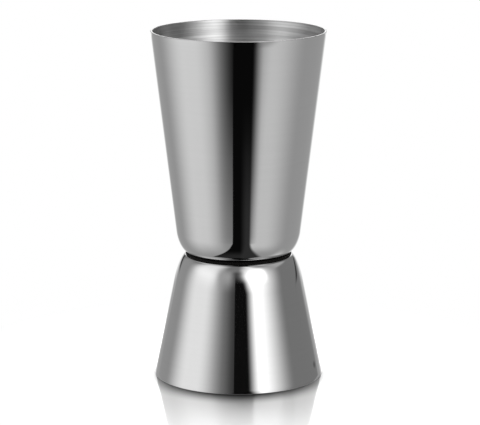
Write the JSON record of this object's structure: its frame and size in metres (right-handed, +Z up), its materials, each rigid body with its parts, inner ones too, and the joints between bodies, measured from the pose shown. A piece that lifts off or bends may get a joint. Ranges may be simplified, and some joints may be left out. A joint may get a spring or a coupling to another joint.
{
  "type": "bar jigger",
  "caption": "Double-ended bar jigger: a large and a small tapered stainless steel measuring cup joined base to base, standing on the small cup's rim.",
  "frame": {"origin": "on the axis, in the plane of the small cup's rim, on which the jigger stands", "axes": "+Z up along the axis, from the small cup to the large one; +X and +Y are free, because the object is turned"},
  "size_m": [0.0422, 0.0422, 0.0845],
  "materials": {
    "polished_steel": "stainless steel, mirror-polished outside and brushed round the axis inside",
    "braze_filler": "dull brazing filler"
  },
  "bodies": {
    "root": {"large_cup": "polished_steel", "small_cup": "polished_steel", "braze_disc": "braze_filler"}
  },
  "joints": []
}
